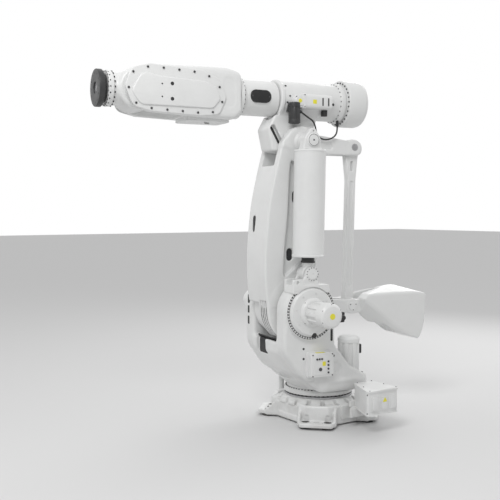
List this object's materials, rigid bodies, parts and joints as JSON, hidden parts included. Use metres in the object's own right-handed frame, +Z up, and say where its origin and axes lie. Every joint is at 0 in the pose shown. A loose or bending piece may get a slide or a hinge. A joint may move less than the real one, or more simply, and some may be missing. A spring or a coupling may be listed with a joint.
{
  "type": "industrial robot arm",
  "caption": "Large six-axis industrial robot arm on a low cast base, with a balancing cylinder, a parallel rod, a rear counterweight and a long wrist with a round tool flange.",
  "frame": {"origin": "on the floor under the levelling pads, on the upright axis the turret turns about", "axes": "+X straight ahead of the base, away from the connection box; +Z up; the arm is stored turned 82 degrees from +X towards +Y"},
  "size_m": [1.7164, 3.4675, 3.2883],
  "materials": {
    "white_paint": "satin enamel over cast iron and steel",
    "dark_grey_paint": "dark grey satin",
    "black_plastic": "moulded black",
    "steel": "machined"
  },
  "bodies": {
    "base": {"base_casting": "white_paint", "levelling_pads_1": "dark_grey_paint", "levelling_pads_2": "dark_grey_paint", "levelling_pads_3": "dark_grey_paint", "levelling_pads_4": "dark_grey_paint", "slewing_ring": "steel", "connection_box": "white_paint", "stop_lug": "white_paint"},
    "turret": {"turret_table": "white_paint", "turret_frame": "white_paint", "gear_unit_2": "white_paint", "gear_unit_3": "white_paint", "motor_2": "white_paint", "motor_3": "white_paint", "motor_1": "white_paint", "brake_release_box": "white_paint", "stop_post": "white_paint", "spring_bracket": "white_paint"},
    "lower_arm": {"lower_arm_casting": "white_paint", "spring_top_pin": "white_paint"},
    "elbow_pin": {"elbow_pin": "steel"},
    "upper_arm": {"elbow_house": "white_paint", "rear_drum": "white_paint", "motor_4": "white_paint", "motor_5": "dark_grey_paint", "motor_6": "white_paint", "elbow_cable": "black_plastic"},
    "spring_cylinder": {"spring_cylinder": "white_paint"},
    "spring_rod": {"spring_rod": "dark_grey_paint"},
    "parallel_arm": {"parallel_arm": "white_paint", "counterweight": "white_paint"},
    "rod_pin": {"rod_pin": "steel"},
    "parallel_rod": {"parallel_rod": "white_paint"},
    "wrist": {"wrist_tube": "white_paint", "oval_cover_near": "black_plastic", "oval_cover_far": "black_plastic", "wrist_housing": "white_paint", "side_cover_near": "white_paint", "side_cover_far": "white_paint", "under_cover": "white_paint"},
    "tilt": {"tilt_unit": "white_paint"},
    "disc": {"turning_disc": "dark_grey_paint"}
  },
  "joints": [
    {"name": "axis_1", "type": "hinge", "parent": "base", "child": "turret", "pos_m": [0, 0, 0], "axis": [0, 0, 1], "range_deg": [-252, 88]},
    {"name": "axis_2", "type": "hinge", "parent": "turret", "child": "lower_arm", "pos_m": [0.04662, 0.33174, 1.086], "axis": [-0.9903, 0.1392, 0], "range_deg": [-42, 60]},
    {"name": "axis_3", "type": "hinge", "parent": "turret", "child": "parallel_arm", "pos_m": [0.04662, 0.33174, 1.086], "axis": [-0.9903, 0.1392, 0], "range_deg": [-20, 45]},
    {"name": "elbow_pin_turn", "type": "hinge", "parent": "lower_arm", "child": "elbow_pin", "pos_m": [0.0432, 0.30738, 2.65181], "axis": [-0.9903, 0.1392, 0], "range_deg": [-60, 42]},
    {"name": "elbow_turn", "type": "hinge", "parent": "elbow_pin", "child": "upper_arm", "pos_m": [0.0432, 0.30738, 2.65181], "axis": [-0.9903, 0.1392, 0], "range_deg": [-20, 45]},
    {"name": "rod_pin_turn", "type": "hinge", "parent": "parallel_arm", "child": "rod_pin", "pos_m": [-0.04868, -0.34636, 1.06807], "axis": [-0.9903, 0.1392, 0], "range_deg": [-45, 20]},
    {"name": "rod_turn", "type": "hinge", "parent": "rod_pin", "child": "parallel_rod", "pos_m": [-0.04868, -0.34636, 1.06807], "axis": [-0.9903, 0.1392, 0], "range_deg": [-42, 60]},
    {"name": "spring_cylinder_turn", "type": "hinge", "parent": "lower_arm", "child": "spring_cylinder", "pos_m": [0.0432, 0.30738, 2.65181], "axis": [-0.9903, 0.1392, 0], "range_deg": [-9.1, 13]},
    {"name": "spring_rod_turn", "type": "hinge", "parent": "turret", "child": "spring_rod", "pos_m": [0.04662, 0.33174, 1.434], "axis": [-0.9903, 0.1392, 0], "range_deg": [-51.1, 73]},
    {"name": "axis_4", "type": "hinge", "parent": "upper_arm", "child": "wrist", "pos_m": [0.0432, 0.30738, 3.05181], "axis": [0.1392, 0.9903, 0], "range_deg": [-300, 300]},
    {"name": "axis_5", "type": "hinge", "parent": "wrist", "child": "tilt", "pos_m": [0.2592, 1.84428, 3.05181], "axis": [-0.9903, 0.1392, 0], "range_deg": [-120, 120]},
    {"name": "axis_6", "type": "hinge", "parent": "tilt", "child": "disc", "pos_m": [0.2592, 1.84428, 3.05181], "axis": [0.1392, 0.9903, 0], "range_deg": [-360, 360]}
  ],
  "couplings": [
    {"joint": "elbow_pin_turn", "follows": "axis_2", "ratio": -1},
    {"joint": "elbow_turn", "follows": "axis_3", "ratio": 1},
    {"joint": "rod_pin_turn", "follows": "axis_3", "ratio": -1},
    {"joint": "rod_turn", "follows": "axis_2", "ratio": 1},
    {"joint": "spring_cylinder_turn", "follows": "axis_2", "ratio": 0.215},
    {"joint": "spring_rod_turn", "follows": "axis_2", "ratio": 1.215}
  ]
}
